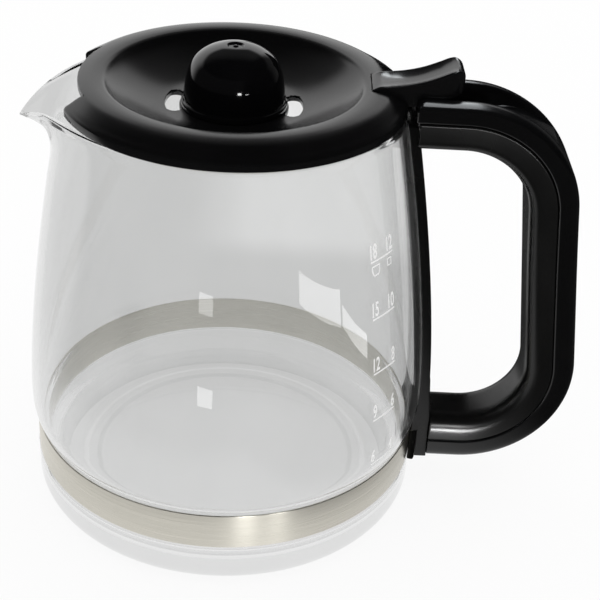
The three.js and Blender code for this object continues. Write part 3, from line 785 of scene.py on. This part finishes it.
rail_z = ARM_Z + SHELL_DEPTH[0]
rail_round = arc(RAIL_X + RAIL_CORNER, rail_z - RAIL_CORNER, RAIL_CORNER, 180, 90, 12)
rail_room = [[RAIL_X + RAIL_CORNER, rail_z + RAIL_CUT], [RAIL_X - RAIL_CUT, rail_z + RAIL_CUT],
             [RAIL_X - RAIL_CUT, rail_z - RAIL_CORNER]]
shell_upper, shell_lower = (grip_section(*own, SHELL_SEAM, -1) for own in zip(SHELL_DEPTH, SHELL_EDGE))
handle_shell = skin("grip_shell", grip_half(shell_upper, shell_lower), ring=True, ends=True)
carve(handle_shell, "DIFFERENCE", [
    channel(),
    slab("rail_end", np.concatenate([rail_round, rail_room]), -ARM_W, ARM_W),
    plain_rod(PIN_R + 0.1, HINGE_X, HINGE_Z, PIN_FRONT, ARM_W),
])
soften(handle_shell, 0.5)
gloss_black, wire = finish("gloss_black_moulding")
smudges = noise(wire, (55, 55, 55), 4.0, 0.6)
peel = noise(wire, (420, 420, 420), 1.0)
handle_shell.data.materials.append(apply(gloss_black, wire, {
    "Base Color": blend(wire, smudges, (0.0008, 0.0008, 0.001), (0.0018, 0.0018, 0.002)),
    "Roughness": span(wire, smudges, 0.35, 0.75, 0.2, 0.27),
    "Normal": bumps(wire, peel, 0.004),
}))
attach(handle_shell, "carafe")
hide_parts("handle_shell")


# Handle cover
# The inner half of the loop is a satin black moulding that the fingers close round.
# It clips to the shell along the seam, and its upper root butts against the spine.
COVER_EDGE = (4.0, 6.5)
COVER_SEAM = 0.7
ROOT_WRAP = 1.6
root_x = glass_radius(ARM_UNDER) + GLASS_GAP + SPINE_T + GAP
root_low, root_high = ARM_UNDER - GRIP_T, ARM_Z + 1
root_face = box(CUT_X, root_low, root_x, root_high)
root_sides = box(CUT_X, root_low, root_x - ROOT_WRAP, root_high)
cover_upper, cover_lower = (grip_section(COVER_T, edge, COVER_SEAM, 1) for edge in COVER_EDGE)
handle_cover = skin("grip_cover", grip_half(cover_upper, cover_lower), ring=True, ends=True)
carve(handle_cover, "DIFFERENCE", [
    channel(),
    slab("root_face", root_face, -SPINE_W / 2 - GAP, SPINE_W / 2 + GAP),
    slab("root_sides", root_sides, -ARM_W, ARM_W),
])
soften(handle_cover, 0.2)
handle_cover.data.materials.append(satin_black)
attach(handle_cover, "carafe")
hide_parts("handle_cover")


# Hinge pin
# A turned steel pin is pressed in from the far side, through one rail and the lever into the other.
# The lid swings on it.
pin_start = PIN_FRONT + GAP
pin_stop = ARM_W / 2 - GAP
hinge_pin = rod("hinge_pin_steel", [
    [0, pin_start], [PIN_R - 0.35, pin_start], [PIN_R - 0.1, pin_start + 0.12], [PIN_R, pin_start + 0.4],
    [PIN_R, pin_stop - 0.4], [PIN_R - 0.1, pin_stop - 0.12], [PIN_R - 0.35, pin_stop], [0, pin_stop],
], HINGE_X, HINGE_Z)
hinge_pin.data.materials.append(turned_steel)
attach(hinge_pin, "carafe")
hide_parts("hinge_pin")


# Lid cover
# The lid is a black moulding with a semi-gloss skin: a rim, a bowl that catches the drip and a lip below.
# A notch at the spout lets the coffee out, and two curved slots beside the dome let it in.
LID_R = 59.4
LID_Z = RIM_Z + GAP
CREST_Z = RIM_Z + 7.4
BOWL_R = 44.4
BOWL_Z = CREST_Z - 10.0
BOWL_FLAT = 18.2
LID_T = 2.2
LIP_R = 55.2
LIP_IN = LIP_R - 2.0
LIP_LOW = LID_Z - 2.2
PLUG_R = 14.6
NOTCH_R = 52.7
NOTCH_ANGLE = 24.06
DRAIN_IN = 18.7
DRAIN_OUT = 23.6
DRAIN_ANGLE = 24.06
LEVER_W = 14.6
LEVER_X = RIM_R - 12.6
LEVER_CUT = LID_R + 9
LID_LOW = BOWL_Z - 2 * LID_T
LID_HIGH = CREST_Z + 10


def revolve(profile, turn):
    """Profile of radius and height carried round the upright axis."""
    radius, height = profile.T[:, :, None]
    angle = np.linspace(0, 2 * np.pi, turn, endpoint=False)[None]
    return grid_of(radius * np.cos(angle), radius * np.sin(angle), height)


def lid_profile():
    """Radius and height round the lid: edge, rim, bowl, hole for the dome, underside and lip."""
    top = curve_through([[LID_R, LID_Z + 2.5], [LID_R - 0.4, LID_Z + 3.2], [LID_R - 2.2, CREST_Z - 2.75],
                         [LID_R - 4.4, CREST_Z - 1.4], [LID_R - 6.4, CREST_Z - 0.45],
                         [LID_R - 8.6, CREST_Z - 0.05], [BOWL_R + 2, CREST_Z], [BOWL_R, CREST_Z - 0.4],
                         [BOWL_R - 1.6, CREST_Z - 1.7], [BOWL_R - 7, CREST_Z - 4.9],
                         [BOWL_R - 14, CREST_Z - 7.9], [BOWL_R - 20, BOWL_Z + 0.5], [BOWL_FLAT, BOWL_Z]], 90)
    hole = [[PLUG_R + GAP, BOWL_Z], [PLUG_R + GAP, BOWL_Z - LID_T]]
    under = curve_through([[BOWL_R - 20, BOWL_Z + 0.5 - LID_T], [BOWL_R - 14, CREST_Z - 7.9 - LID_T],
                           [BOWL_R - 7, CREST_Z - 4.9 - LID_T], [BOWL_R, CREST_Z - 1.7 - LID_T],
                           [BOWL_R + 2, CREST_Z - LID_T]], 24)
    lip = [[LIP_IN - 1, CREST_Z - LID_T], [LIP_IN, CREST_Z - LID_T - 1], [LIP_IN, LIP_LOW],
           [LIP_R, LIP_LOW], [LIP_R, LID_Z]]
    return np.concatenate([[[LID_R, LID_Z]], top, hole, under, lip])


def drain(middle):
    """Curved slot with round ends about the middle direction, in degrees."""
    width = DRAIN_OUT - DRAIN_IN
    centre = (DRAIN_OUT + DRAIN_IN) / 2
    swing = DRAIN_ANGLE - np.degrees(width / 2 / centre)
    first, last = np.radians([middle - swing, middle + swing])
    turn = middle + swing
    far = arc(centre * np.cos(last), centre * np.sin(last), width / 2, turn, turn + 180, 14)
    turn = middle - swing
    near = arc(centre * np.cos(first), centre * np.sin(first), width / 2, turn + 180, turn + 360, 14)
    out = arc(0, 0, DRAIN_OUT, middle - swing, middle + swing, 20)[1:-1]
    back = arc(0, 0, DRAIN_IN, middle + swing, middle - swing, 20)[1:-1]
    return plan_block("drain", np.concatenate([out, far, back, near]), LID_LOW, LID_HIGH)


notch_turn = np.radians(NOTCH_ANGLE)
notch_out = (LID_R + SPOUT_REACH) * np.array([-np.cos(notch_turn), np.sin(notch_turn)])
notch_edge = arc(0, 0, NOTCH_R, 180 - NOTCH_ANGLE, 180 + NOTCH_ANGLE, 40)
notch = np.concatenate([notch_edge, [notch_out * [1, -1], notch_out]])
lever_room = LEVER_W / 2 + 0.1
lever_slot = box(LEVER_X, -lever_room, LEVER_CUT, lever_room)
lid_cover = skin("lid_moulding", revolve(lid_profile(), 240), ring=True, loop=True)
carve(lid_cover, "DIFFERENCE", [
    plan_block("notch", notch, LID_LOW, LID_HIGH),
    plan_block("lever_slot", lever_slot, LID_LOW, LID_HIGH),
    drain(0),
    drain(180),
])
soften(lid_cover, 0.35)
lid_black, wire = finish("semi_gloss_black_moulding")
haze = noise(wire, (38, 38, 38), 4.0, 0.4)
skin_grain = noise(wire, (900, 900, 900), 2.0)
lid_cover.data.materials.append(apply(lid_black, wire, {
    "Base Color": blend(wire, haze, (0.0012, 0.0012, 0.0014), (0.0028, 0.0028, 0.003)),
    "Roughness": span(wire, haze, 0.25, 0.8, 0.17, 0.24),
    "Normal": bumps(wire, skin_grain, 0.004),
}))
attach(lid_cover, "lid")
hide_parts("lid_cover")


# Lid dome
# A hollow glossy black dome with a flange is plugged into the hole in the middle of the bowl.
# It spreads the drip from the filter basket towards the two slots.
DOME_R = 17.4
DOME_H = 21.3
DOME_T = 2.0
FLANGE_R = 18.2
FLANGE_H = 1.8
DIMPLE_R = 3.0
DIMPLE_H = 0.6
DIMPLE_WALL = 0.7
NIB_R = 1.0
NIB_H = DIMPLE_H * 0.7
NIB_WALL = 0.5
PLUG_H = 3.4


def dome_profile():
    """Radius and height from the top down the outside, round the flange and ring, and up the inside.

    A small dimple with a nib in it is sunk into the top.
    """
    base = BOWL_Z + GAP
    shoulder = base + FLANGE_H
    rise = BOWL_Z + DOME_H - shoulder
    side = np.array([[0.0, 1.0], [0.31, 0.97], [0.6, 0.87], [0.8, 0.72], [0.92, 0.5], [0.975, 0.25],
                     [1.0, 0.06]])
    outer = curve_through(side * [DOME_R, rise] + [0, shoulder], 200)
    outer[:, 1] -= DIMPLE_H * np.clip((DIMPLE_R - outer[:, 0]) / DIMPLE_WALL, 0, 1)
    outer[:, 1] += NIB_H * np.clip((NIB_R - outer[:, 0]) / NIB_WALL, 0, 1)
    inner = curve_through(side[:-1] * [DOME_R - DOME_T, rise - DOME_T] + [0, shoulder], 40)[::-1]
    ring_r = PLUG_R - DOME_T
    edge = [[DOME_R + 0.05, shoulder + 0.3], [DOME_R + 0.3, shoulder + 0.05], [FLANGE_R - 0.5, shoulder],
            [FLANGE_R - 0.15, shoulder - 0.15], [FLANGE_R, shoulder - 0.5], [FLANGE_R, base],
            [PLUG_R, base], [PLUG_R, base - PLUG_H + 0.3], [PLUG_R - 0.3, base - PLUG_H],
            [ring_r, base - PLUG_H], [ring_r, shoulder]]
    return np.concatenate([outer, edge, inner])


lid_dome = skin("lid_dome_moulding", revolve(dome_profile(), 160), ring=True)
polished_black, wire = finish("polished_black_moulding")
wipes = noise(wire, (60, 60, 60), 4.0, 0.6)
lid_dome.data.materials.append(apply(polished_black, wire, {
    "Base Color": blend(wire, wipes, (0.001, 0.001, 0.0012), (0.0022, 0.0022, 0.0025)),
    "Roughness": span(wire, wipes, 0.35, 0.75, 0.06, 0.12),
    "Normal": bumps(wire, noise(wire, (380, 380, 380), 1.0), 0.004),
    "Coat Weight": 0.1,
    "Coat Roughness": 0.05,
}))
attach(lid_dome, "lid")
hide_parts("lid_dome")


# Thumb lever
# A black moulding seated in the rim of the lid, with a hollow for the thumb and a raised end.
# A lug below it turns on the hinge pin, so that a push on the end lifts the lid.
LEVER_END = RIM_R + 18.5
LEVER_START = LEVER_X + 0.1
LEVER_LOW = CREST_Z + 0.4
LEVER_TOP = RIM_Z + 15.8
LEVER_UNDER = RIM_Z + 2.3
LEVER_TOE = RIM_Z + 7.2
LEVER_CORNER = 5.2
LEVER_LIP = 0.7
LEVER_SCOOP = 1.3
SCOOP_IN = 16.0
SCOOP_OUT = 6.0
LUG_R = 3.5


def lever_grid():
    """Round-edged bar along X between a top curve and an underside, with a dished top.

    The dish is deepest on the middle line and falls to nothing at the edges and at both ends.
    """
    length = LEVER_END - LEVER_START
    tops = np.array([[0, 0], [0.06, 0.12], [0.2, 0.2], [0.38, 0.3], [0.56, 0.48], [0.74, 0.76], [0.85, 0.95],
                     [0.905, 1.0], [0.96, 0.92], [1.0, 0.62]])
    top = curve_through(tops * [length, LEVER_TOP - LEVER_LOW] + [LEVER_START, LEVER_LOW], 300)
    under = np.concatenate([
        [[LEVER_START, CREST_Z - LID_T], [LIP_IN - 1, CREST_Z - LID_T], [LIP_IN, LEVER_UNDER],
         [HINGE_X - LUG_R - 0.7, LEVER_UNDER]],
        arc(HINGE_X, HINGE_Z, LUG_R, -180, 0, 24),
        [[HINGE_X + LUG_R + 0.8, HINGE_Z + 4.4], [LEVER_END - 1.2, LEVER_TOE], [LEVER_END, LEVER_TOE + 1.2]],
    ])
    way = np.linspace(0, 1, 150)
    x = LEVER_START + length * np.sin(way * np.pi / 2) ** 0.9
    high = np.interp(x, top[:, 0], top[:, 1])
    deep = np.minimum(np.interp(x, under[:, 0], under[:, 1]), high)
    past = np.clip(x - (LEVER_END - LEVER_CORNER), 0, LEVER_CORNER)
    half = LEVER_W / 2 - LEVER_CORNER + np.sqrt(LEVER_CORNER**2 - past**2)
    edge = np.minimum(LEVER_LIP, (high - deep) / 2)
    turn = np.radians(np.linspace(0, 90, 7))
    flat = np.linspace(1, -1, 33)[1:-1]
    ones = np.ones(7)
    part = np.concatenate([ones, flat, -ones, -ones, -flat[::8], ones])
    wide, tall, level = np.cos(turn), np.sin(turn), 0 * flat
    out = np.concatenate([wide, level, -wide[::-1], -wide, level[::8], wide[::-1]])
    lift = np.concatenate([tall, level + 1, tall[::-1], tall, level[::8] + 1, tall[::-1]])
    upper = np.arange(len(part)) < 14 + len(flat)
    x, high, deep, half, edge = (row[:, None] for row in (x, high, deep, half, edge))
    y = part * (half - edge) + out * edge
    z = np.where(upper, high - edge + lift * edge, deep + edge - lift * edge)
    fade = np.clip((x - LEVER_START - 1.0) / SCOOP_IN, 0, 1)
    fade = fade * np.clip((LEVER_END - 2.0 - x) / SCOOP_OUT, 0, 1)
    dish = LEVER_SCOOP * fade * (2 - fade) * (1 - np.clip(np.abs(part), 0, 1) ** 3)
    return np.stack(np.broadcast_arrays(x, y, z - np.where(upper, dish, 0)), axis=-1)


lid_lever = skin("thumb_lever", lever_grid(), ring=True, ends=True, crease=50)
carve(lid_lever, "DIFFERENCE", [plain_rod(PIN_R + GAP, HINGE_X, HINGE_Z, -LEVER_W, LEVER_W)])
lid_lever.data.materials.append(lid_black)
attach(lid_lever, "lid")
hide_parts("lid_lever")


# Studio
# A pale floor, seen white, keeps the carafe's shadow, with white behind it and a dark room in front.
# A soft strip hangs over the handle, two low windows stand at the right, and small cards on the floor
# put the streaks on the glass and on the lower arm. Flags keep each light on the pieces that it is for.
FLOOR_HALF = 3000.0
FLOOR_LIFT = 0.02
FLOOR_PALE = 0.95
FLOOR_DARK = 0.028
INSIDE_TONE = 0.85
CARD_Y = 200.0


def rays(wire):
    """Wires that are one for rays from the camera, off a shine, off a shine behind glass, and out of glass.

    Rays out of glass count as shine too, and are taken out of it.
    """
    path = wire.tree.nodes.new("ShaderNodeLightPath")
    names = ("Is Camera Ray", "Is Glossy Ray", "Is Transmission Ray", "Transmission Depth")
    camera, shine, through, passed = (Wire(wire.tree, path.outputs[name]) for name in names)
    shine = shine * (1 - through)
    inside = shine * wire.node("ShaderNodeMath", {"operation": "MINIMUM"}, {0: passed, 1: 1.0})
    return camera, shine - inside, inside, through


floor_line = np.linspace(-FLOOR_HALF, FLOOR_HALF, 21)
floor = skin("floor", grid_of(floor_line[:, None], floor_line[None], FLOOR_LIFT))
pale_floor, wire = finish("pale_floor")
camera_ray, shine, inside, through = rays(wire)
right_of, ahead, _ = parts_of(wire, spot(wire))
away = length_of(wire, spot(wire))
# In a shine the floor is pale near the carafe and at the left behind it, and dark farther off and behind it
# at the right.
aft = span(wire, ahead, -0.05, 0.02) * span(wire, right_of, -0.03, 0.03, 1.0, 0.0)
reach = span(wire, right_of, 0.03, 0.08, 0.05, 0.0)
near = span(wire, away - reach, 0.09, 0.15, FLOOR_PALE, FLOOR_DARK)
near = near + (FLOOR_PALE - near) * aft
near = near * (1 - 0.9 * span(wire, ahead, 0.03, 0.08) * span(wire, right_of, 0.03, 0.06))
# Seen through the glass the floor is painted a light grey, a little darker behind the carafe and lighter far
# behind at the right: painted shade and light on what the glass shows.
middle = span(wire, ahead, 0.02, 0.1)
beyond = span(wire, ahead, 0.16, 0.19) * span(wire, right_of, -0.04, 0.01)
tone = camera_ray + shine * near + inside * INSIDE_TONE + through * (0.84 - 0.1 * middle + 0.2 * beyond)
white_part = 0.9 * camera_ray + 0.97 * (shine + inside) + 0.85 * through
grey = blend(wire, tone, (0, 0, 0), (1, 1, 1))
white = wire.node("ShaderNodeEmission", {}, {"Color": grey, "Strength": 1.0})
matt = wire.node("ShaderNodeBsdfDiffuse", {}, {"Color": (FLOOR_PALE, FLOOR_PALE, FLOOR_PALE, 1)})
mixed = wire.node("ShaderNodeMixShader", {}, {0: white_part, 1: matt, 2: white})
send(mixed, "ShaderNodeOutputMaterial")
floor.data.materials.append(pale_floor)

# A black card behind the carafe, seen only in shines, puts painted shade into the reflections on the lower
# arm and the inner face of the grip.
card_x, card_z = np.array([[80.0], [210.0]]), np.array([[60.0, 245.0]])
dark_card = skin("dark_card", grid_of(card_x, CARD_Y, card_z))
black_card, wire = finish("black_card")
dark_card.data.materials.append(apply(black_card, wire, {
    "Base Color": (0.001, 0.001, 0.001, 1.0),
    "Specular IOR Level": 0.0,
}))
dark_card.visible_camera = False
dark_card.visible_diffuse = False
dark_card.visible_transmission = False
dark_card.visible_shadow = False

world = bpy.data.worlds.new("studio")
bpy.context.scene.world = world
world.use_nodes = True
world.node_tree.nodes.clear()
wire = Wire(world.node_tree)
camera_ray, shine, inside, through = rays(wire)
seen = camera_ray + shine + inside + through
aside, back, up = parts_of(wire, wire.node("ShaderNodeTexCoord", {}, {}, "Generated"))
# In a shine the world is white low behind the carafe, and dark in front, overhead and at the right.
behind = span(wire, back, 0.2, 0.65, 0.03, 1.0) * span(wire, up, 0.48, 0.61, 1.0, 0.1)
behind = behind * span(wire, aside, 0.3, 0.5, 1.0, 0.08)
# Seen through the glass the world is painted grey, and behind glass in a shine a lighter grey: painted shade
# on what the glass shows.
tone = camera_ray + shine * behind + inside * INSIDE_TONE + through * 0.76 + (1 - seen)
grey = blend(wire, tone, (0, 0, 0), (1, 1, 1))
send(wire.node("ShaderNodeBackground", {}, {"Color": grey, "Strength": 1.0}), "ShaderNodeOutputWorld")


def stand(thing, place, turn):
    """Stand a lamp or camera at a place, with the columns of a turn as its own axes."""
    bpy.context.scene.collection.objects.link(thing)
    thing.matrix_world = Matrix.Translation(place) @ Matrix(turn.tolist()).to_4x4()


def lamp(name, place, aim, size, glow, colour=(1.0, 1.0, 1.0)):
    """Soft rectangular light at a place, turned to an aim, in metres. At a glow of 1 it looks white."""
    light = bpy.data.lights.new(name, "AREA")
    light.shape = "RECTANGLE"
    light.size, light.size_y = size
    light.energy = glow * np.pi * size[0] * size[1]
    light.color = colour
    made = bpy.data.objects.new(name, light)
    away = np.subtract(place, aim) / np.linalg.norm(np.subtract(place, aim))
    side = np.cross((0, 0, 1), away)
    side /= np.linalg.norm(side)
    stand(made, place, np.stack([side, np.cross(away, side), away], axis=1))
    made.visible_camera = False
    made.visible_transmission = False
    return made


def flagged(light, *pieces):
    """Flags keep a light on some pieces alone."""
    lit = bpy.data.collections.new(light.name + "_pieces")
    for piece in pieces:
        lit.objects.link(piece)
    light.light_linking.receiver_collection = lit


daylight = (0.93, 0.97, 1.0)
handle_strip = lamp("handle_strip", (0.17, 0.22, 0.78), (0.17, 0.12, 0.16), (0.2, 1.4), 6.0, daylight)
flagged(handle_strip, handle_shell, lid_lever)
for name, place, size in (
    ("low_window", (0.24, -0.97, 0.1), (0.14, 0.3)),
    ("low_pane", (0.5, -0.85, 0.08), (0.12, 0.2)),
):
    flagged(lamp(name, place, (0.05, 0.0, 0.12), size, 20.0), base_band, handle_cover, lid_dome)
for name, place, aim, size in (
    ("side_card", (0.3, -0.26, 0.015), (0.0, -0.26, 0.015), (0.2, 0.03)),
    ("slant_card", (0.27, -0.105, 0.007), (0.11, -0.215, 0.007), (0.12, 0.02)),
    ("front_card", (-0.078, -0.46, 0.01), (-0.078, 0.0, 0.01), (0.06, 0.02)),
    ("small_card", (-0.033, -0.24, 0.007), (-0.033, 0.0, 0.007), (0.03, 0.014)),
):
    flagged(lamp(name, place, aim, size, 5.0), glass_body)
foot_card = lamp("foot_card", (0.092, -0.06, 0.008), (0.085, -0.011, 0.0268), (0.018, 0.008), 2.6)
foot_card.data.spread = np.radians(34)
flagged(foot_card, handle_cover)

# Camera
# It stands in front and above, a little to the right, as in the picture, and leans by a few degrees.
CAMERA_PLACE = (0.01885, -0.43167, 0.34092)
LENS = 81.74
SENSOR = 36.0
heading = 0.061 - np.radians(2.5)
tilt = 0.550
roll = 0.058
ahead = np.array([np.sin(heading) * np.cos(tilt), np.cos(heading) * np.cos(tilt), -np.sin(tilt)])
right = np.cross(ahead, (0, 0, 1))
right /= np.linalg.norm(right)
over = np.cross(right, ahead)
across = np.cos(roll) * right + np.sin(roll) * over
turn = np.stack([across, np.cos(roll) * over - np.sin(roll) * right, -ahead], axis=1)
lens = bpy.data.cameras.new("camera")
lens.lens = LENS
lens.sensor_width = SENSOR
lens.clip_start = 0.01
camera = bpy.data.objects.new("camera", lens)
stand(camera, CAMERA_PLACE, turn)
bpy.context.scene.camera = camera
bpy.context.scene.view_settings.view_transform = "Standard"
bpy.context.scene.cycles.max_bounces = 48
bpy.context.scene.cycles.transmission_bounces = 48
bpy.context.scene.cycles.glossy_bounces = 32
